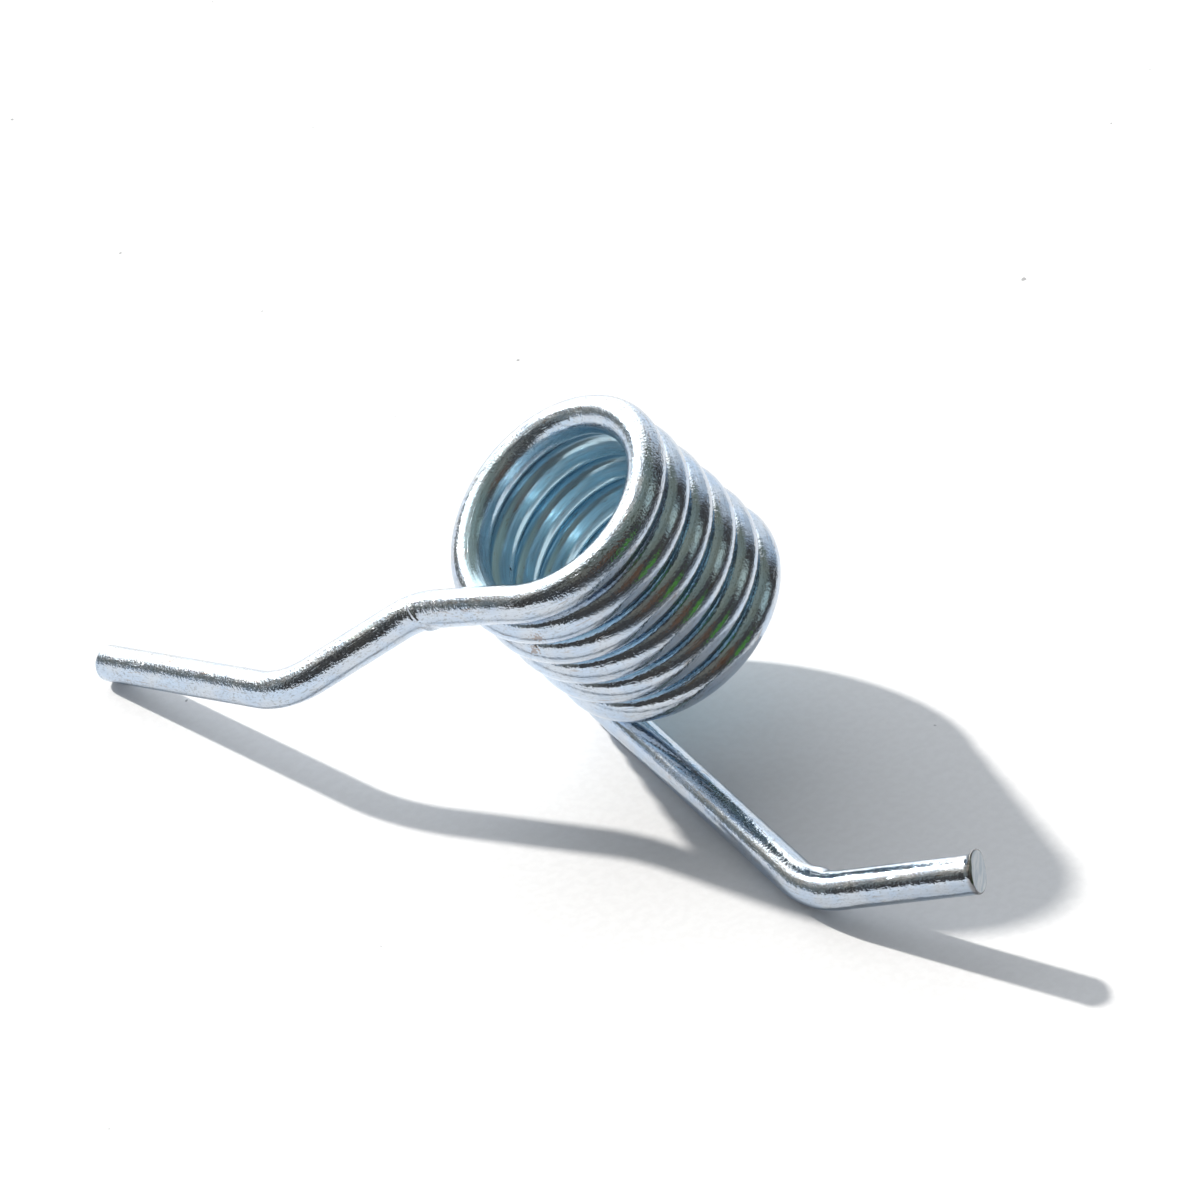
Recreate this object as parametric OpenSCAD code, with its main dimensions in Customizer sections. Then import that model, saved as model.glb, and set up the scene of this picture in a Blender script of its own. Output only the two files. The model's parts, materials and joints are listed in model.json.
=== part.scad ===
// Left-hand torsion spring: one length of round wire, wound close into a coil, with a bent leg at each end.
// Millimetres, +Z up. It lies as it comes to rest on a flat surface: on its lower leg, the last turn of its
// coil and the cut end of its upper leg. The lower leg's long straight runs along -Y, and the origin is the
// middle of the outline seen from above, on the surface.

/* [Wire] */
// Diameter of the round wire
wire_d = 3; // [1:0.1:5]

/* [Coil] */
// Mean diameter of the coil, from wire centre to wire centre
coil_d = 17.5; // [14:0.5:40]
// Gap between one turn and the next, along the axis
turn_gap = 0.2; // [0.1:0.05:4]
// Whole turns
whole_turns = 5; // [3:1:12]
// Winding past the whole turns, which sets the angle between the legs
part_turn = 326.5; // [300:0.5:350]

/* [Upper leg] */
// From the coil to the corner of the first bend
upper_first = 9.4; // [8:0.1:20]
// From corner to corner of the two bends
upper_middle = 13.1; // [10:0.1:30]
// From the corner of the second bend to the cut end
upper_end = 21.9; // [6:0.1:40]
// First bend, away from the coil
upper_out = 31; // [0:0.5:80]
// Second bend, back towards the coil's side
upper_back = 41.5; // [0:0.5:90]
// Radii of the two bends at the wire's centre
upper_radii = [7, 8]; // [3:0.5:12]
// Lean of its three straights out of the plane of a turn
upper_lean = [1, 0.5, 2]; // [-5:0.5:5]

/* [Lower leg] */
// From the coil to the corner of the bend
lower_first = 28.8; // [12:0.1:50]
// From the corner of the bend to the cut end
lower_end = 14.1; // [5:0.1:40]
// Bend, towards the coil's side
lower_in = 40; // [0:0.5:80]
// Radius of the bend at the wire's centre
lower_radius = 7; // [3:0.5:12]
// Lean of its two straights out of the plane of a turn
lower_lean = [2.5, 1]; // [-5:0.5:5]

/* [Facets of the coil] */
// Sides of the wire's section
sides = 20; // [12:2:32]
// Winding between two sections
step = 12; // [6:1:20]

/* [Hidden] */
$fn = 64;

wire_r = wire_d / 2;
coil_r = coil_d / 2;
pitch = wire_d + turn_gap;
wind = 360 * whole_turns + part_turn;
lead = pitch / (2 * PI * coil_r); // rise of the wound wire for each unit of run
ease = wire_d;                    // run over which a leg turns from that lead to its own lean
tuck = wire_d / 20;               // length of the coil's and the bends' ends inside the straights
shy = wire_d / 200;               // how much thinner those ends are, so that no faces coincide
thin_r = wire_r - shy;
steel = [0.78, 0.8, 0.84];

function unit(v) = v / norm(v);

// The wire's centre and direction after an angle of winding. The coil's axis is +Z in its own frame,
// and the winding is left-handed from the upper leg to the lower one.
function wound(a) = [
    [coil_r * cos(a), -coil_r * sin(a), pitch * a / 360],
    unit([-sin(a), -cos(a), lead])
];

// The same, a run of x past an end of the coil, where the slope changes from s0 to s1 over the ease.
function eased(start, along, s0, s1, x) = [
    start + x * along + [0, 0, s0 * x + (s1 - s0) * x * x / (2 * ease)],
    unit(along + [0, 0, s0 + (s1 - s0) * x / ease])
];

// A direction turned by an angle towards side, both level, then leaned out of that plane.
function leaned(along, side, turn, lean) = unit(cos(turn) * along + sin(turn) * side + [0, 0, tan(lean)]);

// Corners of a leg: its start, then one length along each direction.
function corners(at, directions, lengths, i = 0) = i == len(lengths) ? [at]
    : concat([at], corners(at + lengths[i] * directions[i], directions, lengths, i + 1));

upper_along = [0, 1, 0];
upper_side = [1, 0, 0];
upper_dirs = [
    leaned(upper_along, upper_side, 0, upper_lean[0]),
    leaned(upper_along, upper_side, upper_out, upper_lean[1]),
    leaned(upper_along, upper_side, upper_out - upper_back, upper_lean[2])
];
upper_foot = [for (i = [0 : 3]) eased(wound(0)[0], upper_along, -lead, tan(upper_lean[0]), i * ease / 3)];
upper_corners = corners(upper_foot[3][0], upper_dirs, [upper_first - ease, upper_middle, upper_end]);

lower_along = [-sin(wind), -cos(wind), 0];
lower_side = [cos(wind), -sin(wind), 0];
lower_dirs = [
    leaned(lower_along, lower_side, 0, lower_lean[0]),
    leaned(lower_along, lower_side, -lower_in, lower_lean[1])
];
lower_foot = [for (i = [0 : 3]) eased(wound(wind)[0], lower_along, lead, tan(lower_lean[0]), i * ease / 3)];
lower_corners = corners(lower_foot[3][0], lower_dirs, [lower_first - ease, lower_end]);

// A bend at corner p from direction d0 to d1: its angle, the length that it takes off each straight,
// the direction from the wire to the bend's centre, and that centre.
function bend_angle(d0, d1) = acos(d0 * d1);
function bend_cut(d0, d1, r) = r * tan(bend_angle(d0, d1) / 2);
function bend_inward(d0, d1) = unit(d1 - (d0 * d1) * d0);
function bend_centre(p, d0, d1, r) = p - bend_cut(d0, d1, r) * d0 + r * bend_inward(d0, d1);

// Centres and directions along a leg, for its outline.
function leg_outline(points, dirs, radii) = concat(
    [for (i = [0 : len(radii) - 1])
        let (d0 = dirs[i], d1 = dirs[i + 1], w = bend_inward(d0, d1),
             c = bend_centre(points[i + 1], d0, d1, radii[i]), a = bend_angle(d0, d1))
        for (k = [0 : 8])
            [c + radii[i] * (sin(k * a / 8) * d0 - cos(k * a / 8) * w), cos(k * a / 8) * d0 + sin(k * a / 8) * w]],
    [[points[len(points) - 1], dirs[len(dirs) - 1]]]
);

coil_sections = [for (i = [0 : ceil(wind / step)]) wound(min(i * step, wind))];

upper_outline = leg_outline(upper_corners, upper_dirs, upper_radii);
lower_outline = leg_outline(lower_corners, lower_dirs, [lower_radius]);

// How far a section [centre, direction] of the wire reaches from its centre along v.
function reach(s, v) = wire_r * sqrt(max(0, 1 - pow(s[1] * v, 2)));

// How it lies: the lower leg's long straight is level, and the coil tips about it until the upper leg,
// which comes down on the rim of its cut end, is as low.
resting = lower_dirs[0];
across = unit([0, 0, -1] + resting.z * resting);
aside = cross(resting, across);
function up_at(a) = cos(a) * across + sin(a) * aside;
function lift(a) = min([
    for (s = upper_outline) (s[0] - lower_corners[0]) * up_at(a) - reach(s, up_at(a)) + wire_r
]);
function settle(low, high, rounds) =
    let (mid = (low + high) / 2)
    rounds == 0 ? mid : lift(mid) < 0 ? settle(mid, high, rounds - 1) : settle(low, mid, rounds - 1);
up = up_at(settle(-90, 30, 40));
turned = [cross(-resting, up), -resting, up];

// The origin: the outline's middle and its lowest level.
axes = [[1, 0, 0], [0, 1, 0], [0, 0, 1]];
outline = [for (s = concat(coil_sections, upper_outline, lower_outline)) [turned * s[0], turned * s[1]]];
low = [for (v = axes) min([for (s = outline) s[0] * v - reach(s, v)])];
high = [for (v = axes) max([for (s = outline) s[0] * v + reach(s, v)])];
origin = [(low.x + high.x) / 2, (low.y + high.y) / 2, low.z];

// Places what is inside with its x, y and z axes along three directions.
module placed(at, x, y, z) {
    multmatrix([for (i = [0 : 2]) [x[i], y[i], z[i], at[i]]]) children();
}

module straight(from, to) {
    z = unit(to - from);
    x = unit(cross(z, [0, 0, 1]));
    placed(from, x, cross(z, x), z) cylinder(h = norm(to - from), d = wire_d);
}

// A bend's ends are inside the straights.
module bend(p, d0, d1, r) {
    w = bend_inward(d0, d1);
    inside = asin(tuck / r);
    placed(bend_centre(p, d0, d1, r), -w, d0, cross(d0, w))
        rotate([0, 0, -inside])
            rotate_extrude(angle = bend_angle(d0, d1) + 2 * inside) translate([r, 0]) circle(thin_r);
}

// A leg of true cylinders and rings, from the coil's end to the cut end.
module leg(points, dirs, radii) {
    n = len(dirs);
    cuts = [for (i = [0 : n]) i == 0 || i == n ? 0 : bend_cut(dirs[i - 1], dirs[i], radii[i - 1])];
    for (i = [0 : n - 1]) straight(points[i] + cuts[i] * dirs[i], points[i + 1] - cuts[i + 1] * dirs[i]);
    for (i = [1 : n - 1]) bend(points[i], dirs[i - 1], dirs[i], radii[i - 1]);
}

// A round section swept through a list of [centre, direction, side, radius].
module swept(sections) {
    n = len(sections);
    rings = [
        for (s = sections)
            let (over = cross(s[1], s[2]))
            for (k = [0 : sides - 1]) s[0] + s[3] * (cos(360 * k / sides) * s[2] + sin(360 * k / sides) * over)
    ];
    walls = [
        for (i = [0 : n - 2])
            for (k = [0 : sides - 1])
                let (a = i * sides + k, b = i * sides + (k + 1) % sides)
                each [[a, a + sides, b + sides], [a, b + sides, b]]
    ];
    ends = [[for (k = [0 : sides - 1]) k], [for (k = [sides - 1 : -1 : 0]) (n - 1) * sides + k]];
    polyhedron(rings, concat(walls, ends));
}

// The coil with its eased ends. The thinner tip of each end runs into the leg's first straight.
module coil() {
    upper = [for (i = [2 : -1 : 1]) [upper_foot[i][0], -upper_foot[i][1], upper_side, wire_r]];
    lower = [for (i = [1 : 2]) [lower_foot[i][0], lower_foot[i][1], lower_side, wire_r]];
    turns = [
        for (i = [0 : len(coil_sections) - 1])
            let (a = min(i * step, wind))
            [coil_sections[i][0], coil_sections[i][1], [cos(a), -sin(a), 0], wire_r]
    ];
    swept(concat(
        [for (x = [tuck, -tuck]) [upper_corners[0] + x * upper_dirs[0], -upper_dirs[0], upper_side, thin_r]],
        upper, turns, lower,
        [for (x = [-tuck, tuck]) [lower_corners[0] + x * lower_dirs[0], lower_dirs[0], lower_side, thin_r]]
    ));
}

module spring_wire() {
    color(steel)
        translate(-origin)
            multmatrix([for (row = turned) [row.x, row.y, row.z, 0]])
                union() {
                    coil();
                    leg(upper_corners, upper_dirs, upper_radii);
                    leg(lower_corners, lower_dirs, [lower_radius]);
                }
}

spring_wire();
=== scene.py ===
"""The looks of a torsion spring: one drawn, coiled, bent and zinc plated wire, lying on pale paper.

Lengths of the spring are in millimetres until its path is placed in the frame, which is in metres.
"""
import json
import math

import bpy
from mathutils import Matrix, Vector


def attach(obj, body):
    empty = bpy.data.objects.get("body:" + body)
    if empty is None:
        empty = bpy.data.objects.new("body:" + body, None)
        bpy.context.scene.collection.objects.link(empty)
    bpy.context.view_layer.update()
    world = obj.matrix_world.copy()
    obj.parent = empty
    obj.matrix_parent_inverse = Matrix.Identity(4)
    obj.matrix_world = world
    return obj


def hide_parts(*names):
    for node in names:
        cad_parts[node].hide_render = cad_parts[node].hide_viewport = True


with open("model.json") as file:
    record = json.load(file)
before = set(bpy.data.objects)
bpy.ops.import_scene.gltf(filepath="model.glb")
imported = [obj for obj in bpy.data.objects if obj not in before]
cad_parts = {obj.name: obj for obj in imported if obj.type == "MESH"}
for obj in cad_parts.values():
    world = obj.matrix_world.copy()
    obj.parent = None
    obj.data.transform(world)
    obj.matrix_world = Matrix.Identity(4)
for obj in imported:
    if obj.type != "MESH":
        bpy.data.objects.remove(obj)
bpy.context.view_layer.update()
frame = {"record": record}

MM = 0.001
SPRING = "spring_wire"
mounts = {mount["name"]: mount for mount in frame["record"]["mounts"]}

# The wire and its coil.
WIRE_R = mounts["upper_leg_end"]["dims"]["r_mm"]
COIL_R = 8.75                    # to the wire's centre
PITCH = 3.2
WIND = math.radians(5 * 360 + 326.5)
LEAD = PITCH / (2 * math.pi * COIL_R)
EASE = 2 * WIRE_R                # run over which a leg leaves the winding's slope

# The legs, from the coil out: lengths between corners, bends in degrees, away from the coil where positive,
# radii of the bends, and each straight's lean in degrees.
UPPER = {"lengths": (9.4, 13.1, 21.9), "bends": (31, -41.5), "radii": (7, 8), "leans": (1, 0.5, 2)}
LOWER = {"lengths": (28.8, 14.1), "bends": (-40,), "radii": (7,), "leans": (2.5, 1)}

# The mesh.
STEP = 0.35                      # between sections along the wire
BEND_STEP = 0.1                  # in the legs' bends and beside the cut ends
SIDES = 48

# The cut ends.
RIM_ROUND = {"upper": 0.42, "lower": 0.18}
ROUND_STEPS = 5
FACE_RINGS = 6                   # rings over the flat of a cut face
FACE_MIDDLE = 0.2                # size of the innermost, in shares of the spacing of the rings
FACE_STEP = 0.0002               # between those rings along the wire, so that the path still moves on
BESIDE_RINGS = 14                # fine sections next to a cut end's rim
SLANT = 0.4                      # how much longer the lower end's face leaves one side of the wire
SLANT_SIDE = (-0.79, -0.26, 0.55)
SLANT_RUN = 1.2                  # length of wire over which the slant grows


# ---------------------------------------------------------------- the path of the wire's centre

def winding(angle):
    """The centre and the direction of the wire after an angle of winding, left-handed about +Z."""
    centre = Vector((COIL_R * math.cos(angle), -COIL_R * math.sin(angle), PITCH * angle / (2 * math.pi)))
    return centre, Vector((-math.sin(angle), -math.cos(angle), LEAD))


def spaced(length, step=STEP):
    """Shares of a length, from 0 up to but not including 1."""
    count = max(1, math.ceil(length / step))
    return [i / count for i in range(count)]


def rounded_path(corners, radii):
    """Points along a line of straights with an arc of each radius at each inner corner."""
    points = []
    directions = [(b - a).normalized() for a, b in zip(corners, corners[1:])]
    cut = [0.0]
    for i, radius in enumerate(radii):
        cut.append(radius * math.tan(directions[i].angle(directions[i + 1]) / 2))
    cut.append(0.0)
    for i, along in enumerate(directions):
        start = corners[i] + cut[i] * along
        length = (corners[i + 1] - corners[i]).length - cut[i] - cut[i + 1]
        points += [start + share * length * along for share in spaced(length)]
        if i < len(radii):
            ahead, radius = directions[i + 1], radii[i]
            turn = along.angle(ahead)
            inward = (ahead - ahead.dot(along) * along).normalized()
            centre = start + length * along + radius * inward
            for share in spaced(radius * turn, BEND_STEP):
                a = share * turn
                points.append(centre + radius * (math.sin(a) * along - math.cos(a) * inward))
    return points + [corners[-1]]


def leg_path(end, along, side, slope, leg):
    """Points of a leg from the coil's end out to its cut end."""
    def leaned(turn, lean):
        flat = math.cos(turn) * along + math.sin(turn) * side
        return (flat + Vector((0, 0, math.tan(math.radians(lean))))).normalized()

    rise = math.tan(math.radians(leg["leans"][0]))

    def eased(run):
        return end + run * along + Vector((0, 0, slope * run + (rise - slope) * run * run / (2 * EASE)))

    lengths = (leg["lengths"][0] - EASE,) + leg["lengths"][1:]
    corners, turn = [eased(EASE)], 0.0
    for i, length in enumerate(lengths):
        if i:
            turn += math.radians(leg["bends"][i - 1])
        corners.append(corners[-1] + length * leaned(turn, leg["leans"][i]))
    return [eased(share * EASE) for share in spaced(EASE)] + rounded_path(corners, leg["radii"])


def wire_path():
    """Points along the whole wire, from the upper leg's cut end through the coil to the lower leg's."""
    start, end = winding(0)[0], winding(WIND)[0]
    away = Vector((0, 1, 0))
    onward = Vector((-math.sin(WIND), -math.cos(WIND), 0))
    outward = Vector((math.cos(WIND), -math.sin(WIND), 0))
    upper = leg_path(start, away, Vector((1, 0, 0)), -LEAD, UPPER)
    lower = leg_path(end, onward, outward, LEAD, LOWER)
    coil = [winding(share * WIND)[0] for share in spaced(COIL_R * WIND)]
    return upper[::-1] + coil[1:] + lower


def basis(up, towards):
    """The matrix whose columns are right-handed axes, z along up and x towards a second direction."""
    z = up.normalized()
    x = (towards - towards.dot(z) * z).normalized()
    return Matrix((x, z.cross(x), z)).transposed()


def resting_place():
    """The turn and the shift from the path's own axes into the frame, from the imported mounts."""
    upper_tip = wire_path()[:2]
    own = basis(Vector((0, 0, 1)), upper_tip[0] - upper_tip[1])
    packed = basis(-Vector(mounts["arbor"]["axis"]), Vector(mounts["upper_leg_end"]["axis"]))
    turn = packed @ own.transposed()
    middle = Vector((0, 0, PITCH * WIND / (4 * math.pi)))
    return turn, Vector(mounts["arbor"]["pos_m"]) / MM - turn @ middle


TURN, SHIFT = resting_place()


def placed(point):
    """A point of the path's own axes in the frame, in metres."""
    return (TURN @ point + SHIFT) * MM


# ---------------------------------------------------------------- node trees

def node(tree, kind, inputs=None, **settings):
    """A new node with its settings, and its inputs linked or set by name or place."""
    made = tree.nodes.new(kind)
    for name, value in settings.items():
        setattr(made, name, value)
    for name, value in (inputs or {}).items():
        socket = made.inputs[name]
        if isinstance(value, bpy.types.NodeSocket):
            tree.links.new(value, socket)
        else:
            socket.default_value = value
    return made


def calc(tree, operation, *values):
    return node(tree, "ShaderNodeMath", dict(enumerate(values)), operation=operation).outputs[0]


def product(tree, *factors):
    result = factors[0]
    for factor in factors[1:]:
        result = calc(tree, "MULTIPLY", result, factor)
    return result


def vector_calc(tree, operation, *values, out="Vector"):
    return node(tree, "ShaderNodeVectorMath", dict(enumerate(values)), operation=operation).outputs[out]


def dot(tree, one, other):
    return vector_calc(tree, "DOT_PRODUCT", one, other, out="Value")


def scaled(tree, vector, factor):
    made = node(tree, "ShaderNodeVectorMath", {"Vector": vector, "Scale": factor}, operation="SCALE")
    return made.outputs["Vector"]


def ramp(tree, value, low, high, to_low=0.0, to_high=1.0, smooth=True):
    """Value carried from low..high to to_low..to_high, and held outside."""
    return node(tree, "ShaderNodeMapRange",
                {"Value": value, "From Min": low, "From Max": high, "To Min": to_low, "To Max": to_high},
                interpolation_type="SMOOTHSTEP" if smooth else "LINEAR").outputs["Result"]


def noise(tree, place, scale, detail, roughness=0.5):
    return node(tree, "ShaderNodeTexNoise",
                {"Vector": place, "Scale": scale, "Detail": detail, "Roughness": roughness}).outputs["Fac"]


def blend(tree, share, colour, over, label=""):
    """A colour with a share of another over it. Each is a socket or three numbers."""
    colours = [(*given, 1) if isinstance(given, tuple) else given for given in (colour, over)]
    return node(tree, "ShaderNodeMix", {"Factor": share, "A": colours[0], "B": colours[1]},
                data_type="RGBA", label=label).outputs["Result"]


def relief(tree, height, strength, depth):
    """A bump of a depth in millimetres."""
    return node(tree, "ShaderNodeBump",
                {"Strength": strength, "Distance": depth * MM, "Height": height}).outputs[0]


def stored(tree, geometry, name, value, kind="FLOAT"):
    return node(tree, "GeometryNodeStoreNamedAttribute",
                {"Geometry": geometry, "Name": name, "Value": value}, data_type=kind).outputs[0]


def named(tree, name, kind="FLOAT"):
    return node(tree, "GeometryNodeInputNamedAttribute", {"Name": name}, data_type=kind).outputs[0]


# ---------------------------------------------------------------- the wire

def new_object(name, data):
    made = bpy.data.objects.new(name, data)
    bpy.context.scene.collection.objects.link(made)
    return made


def cut_end(tip, inward, round_r):
    """Stations from a cut face's middle to a little past its rounded rim: point, distance in, girth."""
    flat, depth = 1 - round_r / WIRE_R, FACE_STEP * FACE_RINGS
    rings = [(flat * (i + FACE_MIDDLE) / FACE_RINGS, FACE_STEP * i) for i in range(FACE_RINGS)]
    for i in range(ROUND_STEPS + 1):
        a = i / ROUND_STEPS * math.pi / 2
        rings.append((flat + round_r / WIRE_R * math.sin(a), depth + round_r * (1 - math.cos(a))))
    rings += [(1.0, rings[-1][1] + BEND_STEP * (i + 1)) for i in range(BESIDE_RINGS)]
    return [(tip + d * inward, d, girth) for girth, d in rings]


def path_mesh():
    """The path as a chain of edges, and its length. Along is the distance from the upper cut end, and girth
    the section's size, which closes over each end face with a rounded rim."""
    points = wire_path()
    along = [0.0]
    for a, b in zip(points, points[1:]):
        along.append(along[-1] + (b - a).length)
    total = along[-1]
    upper = cut_end(points[0], (points[1] - points[0]).normalized(), RIM_ROUND["upper"])
    lower = cut_end(points[-1], (points[-2] - points[-1]).normalized(), RIM_ROUND["lower"])
    first, last = upper[-1][1] + STEP / 4, total - lower[-1][1] - STEP / 4
    stations = upper + [(p, d, 1.0) for p, d in zip(points, along) if first < d < last]
    stations += [(p, total - d, girth) for p, d, girth in reversed(lower)]

    mesh = bpy.data.meshes.new("wire_path")
    mesh.from_pydata([placed(p) for p, _, _ in stations], [(i, i + 1) for i in range(len(stations) - 1)], [])
    for name, column in (("along", 1), ("girth", 2)):
        attribute = mesh.attributes.new(name, "FLOAT", "POINT")
        attribute.data.foreach_set("value", [station[column] for station in stations])
    return mesh, total


def new_geometry_tree(name, sockets):
    """A geometry tree with sockets, each a name, INPUT or OUTPUT, and a kind, and what the tree is given."""
    tree = bpy.data.node_groups.new(name, "GeometryNodeTree")
    for socket, way, kind in sockets:
        tree.interface.new_socket(socket, in_out=way, socket_type="NodeSocket" + kind)
    return tree, node(tree, "NodeGroupInput").outputs


def mark_tree():
    """A local swelling or dent of the wire: its height at a point, from where it lies along and around."""
    tree, given = new_geometry_tree("Wire mark", (
        ("Along", "INPUT", "Float"), ("Outward", "INPUT", "Vector"), ("Place", "INPUT", "Float"),
        ("Reach", "INPUT", "Float"), ("Facing", "INPUT", "Vector"), ("Spread", "INPUT", "Float"),
        ("Height", "INPUT", "Float"), ("Slant", "INPUT", "Vector"), ("Height", "OUTPUT", "Float")))
    slant = dot(tree, given["Outward"], given["Slant"])
    distance = calc(tree, "ADD", calc(tree, "SUBTRACT", given["Along"], given["Place"]), slant)
    share = calc(tree, "DIVIDE", distance, given["Reach"])
    length_wise = calc(tree, "EXPONENT", product(tree, share, share, -1.0))
    facing = dot(tree, given["Outward"], given["Facing"])
    around = ramp(tree, facing, calc(tree, "SUBTRACT", 1.0, given["Spread"]), 1.0)
    node(tree, "NodeGroupOutput", {"Height": product(tree, length_wise, around, given["Height"])})
    return tree


def mark(name, place, reach, facing, spread, height, slant=(0, 0, 0)):
    """A mark centred at a distance along the wire and facing one way; a slant leads it along the wire."""
    return name, {"Place": place, "Reach": reach, "Facing": Vector(facing).normalized(),
                  "Spread": spread, "Height": height, "Slant": slant}


def wire_marks(total):
    """What cutting and bending left on the wire, in millimetres. Facings are directions in the frame."""
    upper_bend = sum(UPPER["lengths"][1:])       # the corner next to the coil, from the upper cut end
    lower_bend = total - LOWER["lengths"][1]
    nick = {"facing": (-0.72, -0.62, -0.3), "slant": (0, 0, 0.82)}
    return [
        mark("tool nick", upper_bend + 0.28, 0.1, spread=2.2, height=-0.08, **nick),
        mark("nick lip", upper_bend + 0.5, 0.13, spread=2.2, height=0.12, **nick),
        mark("nick swelling", upper_bend + 0.65, 0.3, (-0.25, -0.6, -0.76), 0.25, 0.16),
        mark("pinched bend", lower_bend + 0.3, 1.0, (0.85, 0.1, 0.5), 0.35, 0.19),
        mark("bend crease", lower_bend + 1.2, 0.3, (0.6, 0, 0.8), 0.3, -0.1),
        mark("shear lip", total, 0.28, (0.2, 0.6, 0.77), 0.6, 0.42),
        mark("lip root", total - 0.5, 0.16, (-0.35, -0.2, 0.9), 0.9, -0.03),
        mark("shear drag", total, 0.3, (-0.6, -0.6, -0.3), 1.0, 0.03),
        mark("upper end burr", 0.0, 0.25, (-0.5, -0.3, -0.8), 0.6, 0.08),
    ]


def mark_offset(tree, marks, outward):
    """How far all the marks together move the surface."""
    group = mark_tree()
    height = 0.0
    for name, sizes in marks:
        made = node(tree, "GeometryNodeGroup", {"Along": named(tree, "along"), "Outward": outward, **sizes},
                    node_tree=group, label=name)
        height = calc(tree, "ADD", height, made.outputs["Height"])
    return scaled(tree, outward, product(tree, height, named(tree, "girth"), MM))


def slant_offset(tree, outward, total):
    """How far the lower cut end's slant moves the surface along the wire."""
    last = ramp(tree, named(tree, "along"), total - SLANT_RUN, total, 0.0, 0.5 * SLANT * MM, smooth=False)
    side = calc(tree, "MULTIPLY_ADD", dot(tree, outward, SLANT_SIDE), named(tree, "girth"), 1.0)
    return scaled(tree, tuple(mounts["lower_leg_end"]["axis"]), product(tree, last, side))


LEG_BEYOND = 2.2                 # beyond the coil's radius by this much, the wire is all leg
COIL_WITHIN = 0.1                # and within this much of it, all coil
BORE_FACING = (0.1, -0.45)       # cosines to the way out from the coil's axis, from none to all bore
GAP_FACING = (0.6, 0.95)         # cosines to the coil's axis, from none to all gap between turns


def plating_places(tree, wire, centre, outward):
    """The wire with what its plating goes by: its own coordinates, two across it and one along it, and how
    much of each point lies in the bore, with its smoother plate and painted blue reflection, and in a gap
    between turns, which has a painted blue reflection only."""
    angle = calc(tree, "MULTIPLY", named(tree, "turn"), 2 * math.pi)
    radius = calc(tree, "MULTIPLY", named(tree, "girth"), WIRE_R)
    coordinates = node(tree, "ShaderNodeCombineXYZ", {"X": product(tree, calc(tree, "COSINE", angle), radius),
                                                      "Y": product(tree, calc(tree, "SINE", angle), radius),
                                                      "Z": named(tree, "along")}).outputs[0]
    wire = stored(tree, wire, "wire", coordinates, "FLOAT_VECTOR")

    axis = tuple(TURN @ Vector((0, 0, 1)))
    from_axis = vector_calc(tree, "SUBTRACT", centre, tuple(placed(Vector((0, 0, 0)))))
    across = vector_calc(tree, "SUBTRACT", from_axis, scaled(tree, axis, dot(tree, from_axis, axis)))
    off_axis = vector_calc(tree, "LENGTH", across, out="Value")
    wound = ramp(tree, off_axis, (COIL_R + LEG_BEYOND) * MM, (COIL_R + COIL_WITHIN) * MM)
    inward = dot(tree, outward, vector_calc(tree, "NORMALIZE", across))
    wire = stored(tree, wire, "bore", product(tree, ramp(tree, inward, *BORE_FACING), wound))
    return stored(tree, wire, "gap", product(tree, ramp(tree, dot(tree, outward, axis), *GAP_FACING), wound))


def wire_tree(material, marks, total):
    """A round wire swept along a path, with its marks and its own coordinates for the plating."""
    tree, given = new_geometry_tree("Drawn wire", (
        ("Path", "INPUT", "Geometry"), ("Wire radius", "INPUT", "Float"), ("Sides", "INPUT", "Int"),
        ("Wire", "OUTPUT", "Geometry")))
    position = node(tree, "GeometryNodeInputPosition").outputs[0]
    path = node(tree, "GeometryNodeMeshToCurve", {"Mesh": given["Path"]}).outputs[0]
    path = stored(tree, path, "centre", position, "FLOAT_VECTOR")
    section = node(tree, "GeometryNodeCurvePrimitiveCircle",
                   {"Resolution": given["Sides"], "Radius": given["Wire radius"]}).outputs[0]
    section = stored(tree, section, "turn", node(tree, "GeometryNodeSplineParameter").outputs["Factor"])
    sweep = {"Curve": path, "Profile Curve": section, "Scale": named(tree, "girth"), "Fill Caps": True}
    wire = node(tree, "GeometryNodeCurveToMesh", sweep).outputs[0]

    centre = named(tree, "centre", "FLOAT_VECTOR")
    outward = vector_calc(tree, "NORMALIZE", vector_calc(tree, "SUBTRACT", position, centre))
    wire = plating_places(tree, wire, centre, outward)
    offset = vector_calc(tree, "ADD", mark_offset(tree, marks, outward), slant_offset(tree, outward, total))
    wire = node(tree, "GeometryNodeSetPosition", {"Geometry": wire, "Offset": offset}).outputs[0]
    wire = node(tree, "GeometryNodeSetShadeSmooth", {"Geometry": wire}).outputs[0]
    wire = node(tree, "GeometryNodeRealizeInstances", {"Geometry": wire}).outputs[0]
    wire = node(tree, "GeometryNodeSetMaterial", {"Geometry": wire, "Material": material}).outputs[0]
    node(tree, "NodeGroupOutput", {"Wire": wire})
    return tree


def spring():
    """The whole wire as one plain mesh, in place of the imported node."""
    path, total = path_mesh()
    tree = wire_tree(zinc_plate(total), wire_marks(total), total)
    carrier = new_object("wire_path", path)
    sweep = carrier.modifiers.new("Drawn wire", "NODES")
    sweep.node_group = tree
    values = {"Wire radius": WIRE_R * MM, "Sides": SIDES}
    for socket in tree.interface.items_tree:
        if socket.in_out == "INPUT" and socket.name in values:
            sweep[socket.identifier] = values[socket.name]
    evaluated = carrier.evaluated_get(bpy.context.evaluated_depsgraph_get())
    mesh = bpy.data.meshes.new_from_object(evaluated)
    mesh.name = "torsion_spring"
    for name in ("centre", "girth", "turn", "along"):
        mesh.attributes.remove(mesh.attributes[name])
    bpy.data.objects.remove(carrier)
    return new_object("torsion_spring", mesh)


# ---------------------------------------------------------------- the zinc plate

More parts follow.
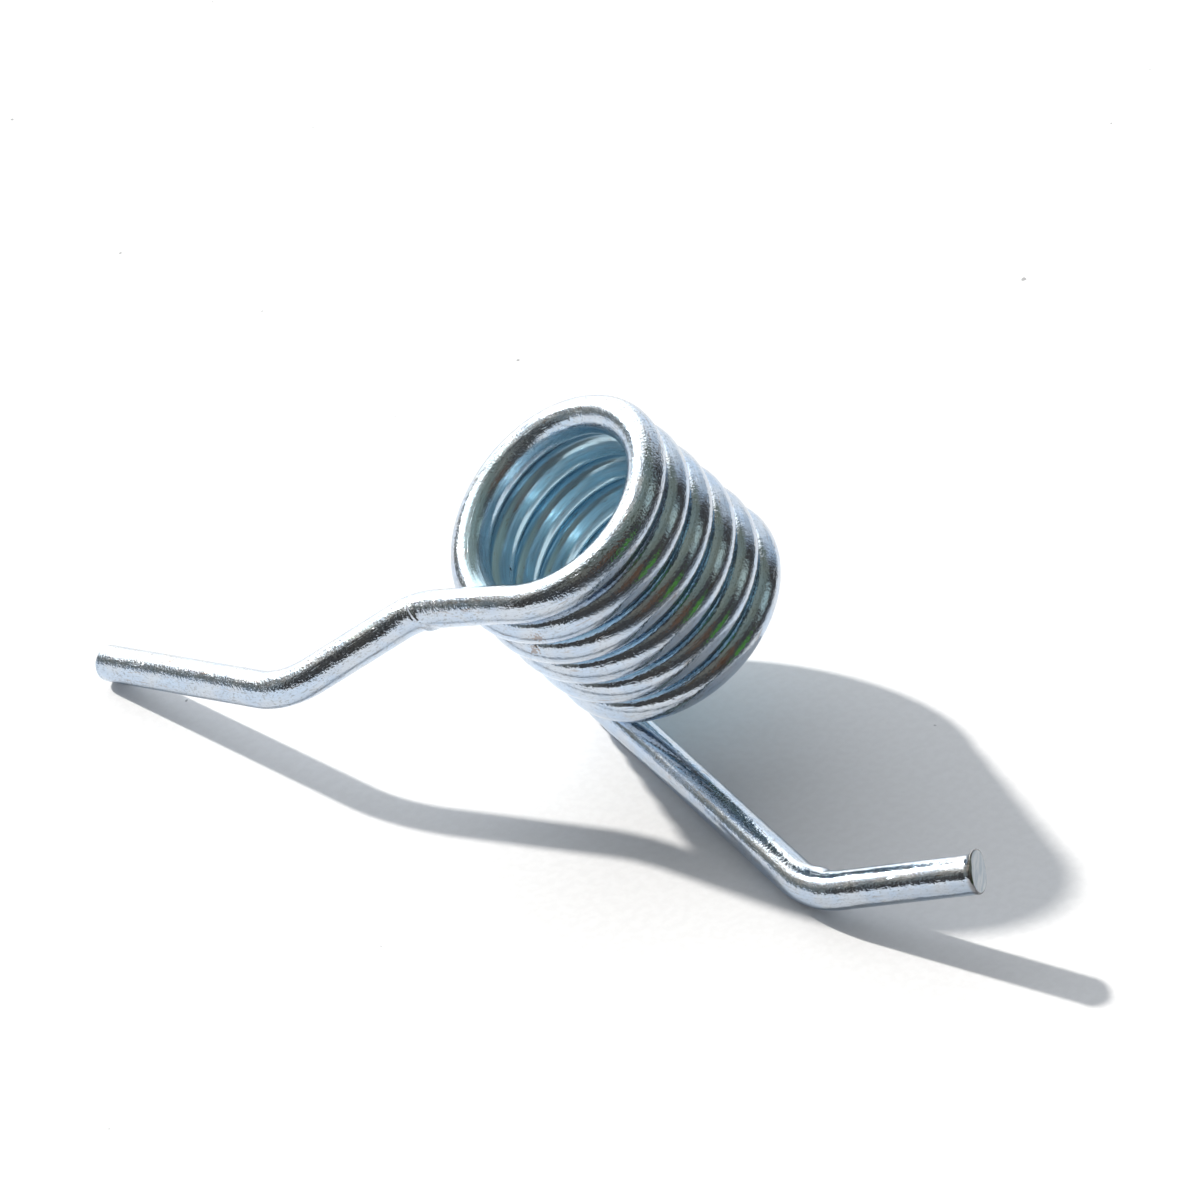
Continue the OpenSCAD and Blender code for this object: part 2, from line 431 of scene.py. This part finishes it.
COOL_ZINC = (0.54, 0.65, 0.79)
WARM_ZINC = (0.62, 0.68, 0.75)
# Painted reflection: the bore's teal stands in for light mirrored back and forth inside the coil.
PAINTED_BORE_REFLECTION = (0.54, 0.79, 0.9)
# Painted reflection: the blue between the turns stands in for light mirrored from turn to turn.
PAINTED_GAP_REFLECTION = (0.42, 0.74, 0.95)
DRAWN_GREY = (0.4, 0.44, 0.5)
DARK_FLECK = (0.14, 0.14, 0.13)
BROWN_STREAK = (0.33, 0.25, 0.19)
RUST = (0.25, 0.16, 0.1)
PAINTED_PIT_SHADE = (0.01, 0.012, 0.015)
CUT_RIM = (0.26, 0.24, 0.22)
CUT_STEEL = ((0.6, 0.69, 0.77), (0.84, 0.89, 0.93))

# Where the plate and its painted blue reflections change along the wire, in millimetres from the upper cut
# end.
# The coil's first turn ends near 99 and its last begins near 314.
BORE_BEGINS = (70, 100)          # the bore's smoother plate
SPECKLE_THINS = (85, 105)        # the speckle, strongest on the upper leg and the first turn
GAP_BEGINS = (88, 102)           # the painted blue reflection between turns
GAP_ENDS = (318, 304)            # and its fading out, as nothing lies beyond the last turn

PLATE_DEPTH = 0.022              # of the plate's relief, in millimetres
FACE_DEPTH = 0.006               # how far in from a cut its bare face counts, in millimetres
RIM_DARKENS = (0.42, 0.15)       # how far in from a cut the plate begins to darken, and is darkest

# Single spots in the plate: how far along the wire and how far round it in degrees, their radius, how ragged
# they are, their strength and their colour.
SPOTS = (
    # The pit has no relief: its darkness is painted shade.
    ("pit in the bore", 142.95, 169, 0.2, 0.0, 1.0, PAINTED_PIT_SHADE),
    ("rust stain", 99.85, -2, 0.42, 0.9, 0.6, RUST),
    ("rust stain", 152.9, -50, 0.42, 0.9, 0.6, RUST),
)


def new_material(name):
    material = bpy.data.materials.new(name)
    material.use_nodes = True
    material.node_tree.nodes.clear()
    return material, material.node_tree


def stored_value(tree, name, out="Fac"):
    """What the sweep stored on the wire by name."""
    return node(tree, "ShaderNodeAttribute", attribute_name=name).outputs[out]


def wire_noise(tree, wire, scale, detail=2.0, roughness=0.5, stretch=(1, 1, 1), shift=(0, 0, 0)):
    """Noise on the wire's own coordinates. A small third number of stretch draws it out along the wire."""
    return noise(tree, vector_calc(tree, "MULTIPLY_ADD", wire, stretch, shift), scale, detail, roughness)


def plate_height(tree, wire, bore, outside, speckle, crowded):
    """Speckle and grains where they crowd, a soft peel, lines from the die along the wire, and scratches. The
    bore is smoother, with deeper lines."""
    grains = ramp(tree, wire_noise(tree, wire, 6.5, detail=1.0, shift=(3, 7, 8)), 0.58, 0.72)
    die_lines = wire_noise(tree, wire, 5.0, detail=1.0, stretch=(1, 1, 0.02))
    scratches = wire_noise(tree, wire, 5.0, stretch=(1, 1, 0.1), shift=(4, 4, 9))
    height = 0.0
    for value, weight in (
            (product(tree, speckle, crowded), 1.1),
            (product(tree, grains, crowded), 0.28),
            (product(tree, wire_noise(tree, wire, 1.7), outside), 1.2),
            (die_lines, calc(tree, "MULTIPLY_ADD", bore, 0.35, 0.25)),
            (ramp(tree, scratches, 0.66, 0.74), -0.4)):
        height = calc(tree, "ADD", calc(tree, "MULTIPLY", value, weight), height)
    return height


def plate_colour(tree, wire, along, bore, speckle, crowded):
    """Blue-white zinc with painted blue reflections in the bore and between the turns, what stains it, and a
    pit's painted shade.
    """
    warm = ramp(tree, wire_noise(tree, wire, 0.5, detail=3.0, shift=(7, 3, 1)), 0.35, 0.65)
    colour = blend(tree, warm, COOL_ZINC, WARM_ZINC)
    # Painted reflection: the bore is tinted teal for the light mirrored back and forth inside the coil.
    colour = blend(tree, product(tree, bore, 0.9), colour, PAINTED_BORE_REFLECTION)
    # Painted reflection: faces towards the neighbouring turns are tinted blue for the light mirrored between
    # turns.
    gap = product(tree, stored_value(tree, "gap"), ramp(tree, along, *GAP_BEGINS, 0.0, 0.85),
                  ramp(tree, along, *GAP_ENDS))
    colour = blend(tree, gap, colour, PAINTED_GAP_REFLECTION)

    drawn = wire_noise(tree, wire, 6.0, detail=3.0, roughness=0.65, stretch=(1, 1, 0.06), shift=(6, 2, 7))
    colour = blend(tree, product(tree, ramp(tree, drawn, 0.3, 0.7), 0.35), colour, DRAWN_GREY)
    flecks = wire_noise(tree, wire, 6.5, detail=1.0, stretch=(1, 1, 0.6), shift=(8, 5, 3))
    flecks = product(tree, ramp(tree, flecks, 0.55, 0.68), crowded, 0.38)
    colour = blend(tree, flecks, colour, DARK_FLECK)
    streaks = wire_noise(tree, wire, 3.0, detail=4.0, roughness=0.65, stretch=(1, 1, 0.2), shift=(5, 1, 2))
    colour = blend(tree, product(tree, ramp(tree, streaks, 0.59, 0.7), 0.5), colour, BROWN_STREAK)

    uneven = calc(tree, "SUBTRACT", speckle, 0.5)
    for name, place, turn, radius, ragged, share, stain in SPOTS:
        angle = math.radians(turn)
        spot = (WIRE_R * math.cos(angle), WIRE_R * math.sin(angle), place)
        apart = vector_calc(tree, "DISTANCE", wire, spot, out="Value")
        apart = calc(tree, "MULTIPLY_ADD", uneven, 2 * ragged, apart)
        colour = blend(tree, ramp(tree, apart, radius, 0.6 * radius, 0.0, share), colour, stain, label=name)
    return colour


def zinc_plate(total):
    """Bright speckled zinc over drawn wire of a total length, with duller cut faces."""
    material, tree = new_material("zinc_plate")
    wire = stored_value(tree, "wire", "Vector")
    along = node(tree, "ShaderNodeSeparateXYZ", {"Vector": wire}).outputs["Z"]
    bore = product(tree, stored_value(tree, "bore"), ramp(tree, along, *BORE_BEGINS, 0.1, 1))
    outside = calc(tree, "SUBTRACT", 1.0, bore)
    speckle = wire_noise(tree, wire, 5.5, detail=1.0)
    crowded = ramp(tree, wire_noise(tree, wire, 0.45, detail=3.0, shift=(2, 8, 5)), 0.35, 0.65, 0.75, 1.25)
    crowded = product(tree, crowded, outside, ramp(tree, along, *SPECKLE_THINS, 1, 0.55))
    height = plate_height(tree, wire, bore, outside, speckle, crowded)
    colour = plate_colour(tree, wire, along, bore, speckle, crowded)
    roughness = ramp(tree, wire_noise(tree, wire, 2.5, detail=3.0, shift=(1, 9, 4)), 0.3, 0.7, 0.05, 0.11)
    roughness = calc(tree, "ADD", roughness, product(tree, bore, 0.075))

    # The sheared faces have strokes across them, and the plate is dark beside them.
    half = total / 2
    from_middle = calc(tree, "ABSOLUTE", calc(tree, "SUBTRACT", along, half))
    rim = ramp(tree, from_middle, *(half - depth for depth in RIM_DARKENS))
    colour = blend(tree, product(tree, rim, 0.75), colour, CUT_RIM)
    strokes = wire_noise(tree, wire, 3.0, detail=3.0, roughness=0.6, stretch=(1, 0.2, 0))
    face = calc(tree, "GREATER_THAN", from_middle, half - FACE_DEPTH)
    colour = blend(tree, face, colour, blend(tree, ramp(tree, strokes, 0.35, 0.65), *CUT_STEEL))
    roughness = calc(tree, "MAXIMUM", roughness, product(tree, face, 0.4))

    metallic = calc(tree, "SUBTRACT", 1.0, product(tree, bore, 0.3))
    shader = node(tree, "ShaderNodeBsdfPrincipled", {"Base Color": colour, "Metallic": metallic,
                                                     "Roughness": roughness,
                                                     "Normal": relief(tree, height, 1.0, PLATE_DEPTH)})
    node(tree, "ShaderNodeOutputMaterial", {"Surface": shader.outputs[0]})
    return material


# ---------------------------------------------------------------- the paper

WHITE = (1, 1, 1)
PAPER = (0.96, 0.96, 0.96)
PAINTED_SHADE_PAPER = (0.12, 0.125, 0.13)
GRAIN_GREY = (0.3, 0.3, 0.3)
SPECK_GREY = (0.15, 0.15, 0.15)
PAPER_DEPTH = 0.05               # of the paper's relief, in millimetres
SHEET_R, SHEET_CORNERS = 1.5, 96
DIM_SIDE = 50                    # where the mirrored paper has painted shade, in degrees from the camera's azimuth
DIM_FROM = (0.015, 0.08)         # and how far out on that side it begins and is full, in metres


def paper():
    """Pale paper with a faint grain and a few specks. On the dim side of the room, painted shade darkens the
    paper's far part where the wire mirrors it."""
    material, tree = new_material("paper")
    place = node(tree, "ShaderNodeTexCoord").outputs["Object"]
    rays = node(tree, "ShaderNodeLightPath").outputs
    colour = blend(tree, rays["Is Camera Ray"], PAPER, WHITE)
    away = dot(tree, place, tuple(compass(CAMERA_AZIMUTH + math.radians(DIM_SIDE), 0)))
    # Painted shade: for glossy rays only, the paper's far part on the dim side is darkened in its colour.
    colour = blend(tree, product(tree, ramp(tree, away, *DIM_FROM), rays["Is Glossy Ray"]), colour, PAINTED_SHADE_PAPER)
    grain = ramp(tree, noise(tree, place, 1500.0, 2.0), 0.35, 0.65, 0.0, 0.05)
    colour = blend(tree, grain, colour, GRAIN_GREY)
    specks = ramp(tree, noise(tree, place, 700.0, 1.0), 0.8, 0.83, 0.0, 0.6)
    colour = blend(tree, specks, colour, SPECK_GREY)
    fibres = relief(tree, noise(tree, place, 900.0, 3.0), 0.4, PAPER_DEPTH)
    shader = node(tree, "ShaderNodeBsdfDiffuse", {"Color": colour, "Normal": fibres})
    node(tree, "ShaderNodeOutputMaterial", {"Surface": shader.outputs[0]})
    return material


def paper_sheet():
    """A wide round sheet that the spring lies on."""
    mesh = bpy.data.meshes.new("paper_sheet")
    angles = [2 * math.pi * i / SHEET_CORNERS for i in range(SHEET_CORNERS)]
    ring = [(SHEET_R * math.cos(angle), SHEET_R * math.sin(angle), 0) for angle in angles]
    mesh.from_pydata(ring, [], [tuple(range(SHEET_CORNERS))])
    mesh.materials.append(paper())
    sheet = new_object("paper_sheet", mesh)


# ---------------------------------------------------------------- the camera and the light

CAMERA_AZIMUTH = math.radians(-118.98)   # where the camera stands, from +X
CAMERA_HEIGHT = math.radians(35.7)
CAMERA_DISTANCE = 0.3791
CAMERA_ROLL = math.radians(4.93)
CAMERA_TARGET = Vector((0.01593, 0.01957, 0))
LENS, SENSOR = 139.1, 36.0

SUN_AZIMUTH = math.radians(111.43)       # where the window's light comes from
SUN_HEIGHT = math.radians(36.2)
SUN_STRENGTH = 3.5
SUN_COLOUR = (1.0, 0.965, 0.92)
SUN_WIDTH = math.radians(2.5)

FILL = (0.415, 0.434, 0.457)             # the room's light in the shadows
FILL_SIDE = (-162, 18)                   # where most of it comes from, by the camera's azimuth, and how high
FILL_FACING = (0.5, 0.95)                # cosines to that side, from where it grows to where it is full
FILL_SHARE = (0.42, 5.0)                 # its strength away from that side and on it

# Parts of the room that the bright wire mirrors: where each is from the camera's side of the room and how
# far it reaches to either side, its lowest and highest elevation, the width of its soft edge, and its colour.
WINDOW = (2.2, 2.15, 2.05)
ROOM = (
    ("dim ceiling", 0, 180, 47, 100, 12, (0.195, 0.22, 0.185)),
    ("high ceiling", 0, 180, 68, 100, 16, (0.26, 0.3, 0.26)),
    ("lit ceiling", -112, 55, 66, 100, 24, (0.68, 0.66, 0.59)),
    ("grey shelf", -28, 30, 30, 50, 16, (0.2, 0.19, 0.16)),
    ("pale screen", 83, 13, 18, 49, 20, (0.5, 0.6, 0.55)),
    ("warm shade", 12, 13, 18, 46, 14, (0.15, 0.09, 0.06)),
    ("green plant", 44, 11, -10, 20, 12, (0.1, 0.27, 0.06)),
    ("dusk wall", -106, 32, -10, 24, 14, (0.23, 0.24, 0.225)),
    ("low sill", -97, 16, -10, 4, 6, (0.5, 0.55, 0.62)),
    ("pale wall", 168, 42, -10, 46, 24, (0.6, 0.67, 0.74)),
    ("bright wall", 180, 32, -10, 46, 18, (1.0, 1.05, 1.1)),
    ("curtain", -106, 24, 26, 62, 26, (0.72, 0.66, 0.57)),
    ("window's far part", -107, 13, 38, 62, 12, WINDOW),
    ("window's middle", -133, 17, 23, 62, 12, WINDOW),
    ("bright window", -162, 26, -10, 56, 16, WINDOW),
)
ROOM_SHADE = (0.078, 0.074, 0.07)        # the room between these parts


def compass(azimuth, elevation):
    """The direction at an azimuth from +X and an elevation."""
    level = math.cos(elevation)
    return Vector((level * math.cos(azimuth), level * math.sin(azimuth), math.sin(elevation)))


def camera():
    data = bpy.data.cameras.new("camera")
    data.lens, data.sensor_width = LENS, SENSOR
    data.clip_start, data.clip_end = 0.01, 10
    made = new_object("camera", data)
    back = compass(CAMERA_AZIMUTH, CAMERA_HEIGHT)
    made.location = CAMERA_TARGET + CAMERA_DISTANCE * back
    made.rotation_mode = "QUATERNION"
    roll = Matrix.Rotation(-CAMERA_ROLL, 4, "Z").to_quaternion()
    made.rotation_quaternion = (-back).to_track_quat("-Z", "Y") @ roll
    bpy.context.scene.camera = made


def sunlight():
    data = bpy.data.lights.new("window_light", "SUN")
    data.energy = SUN_STRENGTH
    data.color = SUN_COLOUR
    data.angle = SUN_WIDTH
    lamp = new_object("window_light", data)
    lamp.rotation_mode = "QUATERNION"
    lamp.rotation_quaternion = (-compass(SUN_AZIMUTH, SUN_HEIGHT)).to_track_quat("-Z", "Y")


def mirrored_room(tree, direction):
    """The colour of the room in a direction, as the bright wire mirrors it."""
    front, side = compass(CAMERA_AZIMUTH, 0), compass(CAMERA_AZIMUTH + math.pi / 2, 0)
    around = calc(tree, "ARCTAN2", dot(tree, direction, tuple(side)), dot(tree, direction, tuple(front)))
    azimuth = calc(tree, "DEGREES", around)
    upright = node(tree, "ShaderNodeSeparateXYZ", {"Vector": direction}).outputs["Z"]
    elevation = calc(tree, "DEGREES", calc(tree, "ARCSINE", upright))
    seen = ROOM_SHADE
    for name, centre, half, low, high, soft, colour in ROOM:
        away = calc(tree, "WRAP", calc(tree, "SUBTRACT", azimuth, centre), 180.0, -180.0)
        beside = ramp(tree, calc(tree, "ABSOLUTE", away), half + soft / 2, half - soft / 2)
        above = ramp(tree, elevation, low - soft / 2, low + soft / 2)
        below = ramp(tree, elevation, high + soft / 2, high - soft / 2)
        seen = blend(tree, product(tree, above, below, beside), seen, colour, label=name)
    return seen


def surroundings():
    """A plain soft room. Its fill lights the shadows, most of all from the window's side, the wire mirrors
    its pale and dark parts, and the camera sees it white."""
    world = bpy.data.worlds.new("room")
    bpy.context.scene.world = world
    world.use_nodes = True
    tree = world.node_tree
    tree.nodes.clear()
    direction = node(tree, "ShaderNodeTexCoord").outputs["Generated"]
    rays = node(tree, "ShaderNodeLightPath").outputs
    towards = compass(CAMERA_AZIMUTH + math.radians(FILL_SIDE[0]), math.radians(FILL_SIDE[1]))
    share = ramp(tree, dot(tree, direction, tuple(towards)), *FILL_FACING, *FILL_SHARE)
    light = blend(tree, rays["Is Glossy Ray"], scaled(tree, FILL, share), mirrored_room(tree, direction))
    light = blend(tree, rays["Is Camera Ray"], light, WHITE)
    background = node(tree, "ShaderNodeBackground", {"Color": light, "Strength": 1.0})
    node(tree, "ShaderNodeOutputWorld", {"Surface": background.outputs[0]})


# ---------------------------------------------------------------- the scene

bpy.context.scene.view_settings.view_transform = "Standard"
camera()
sunlight()
surroundings()
paper_sheet()

wire = spring()
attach(wire, "root")
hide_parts(SPRING)
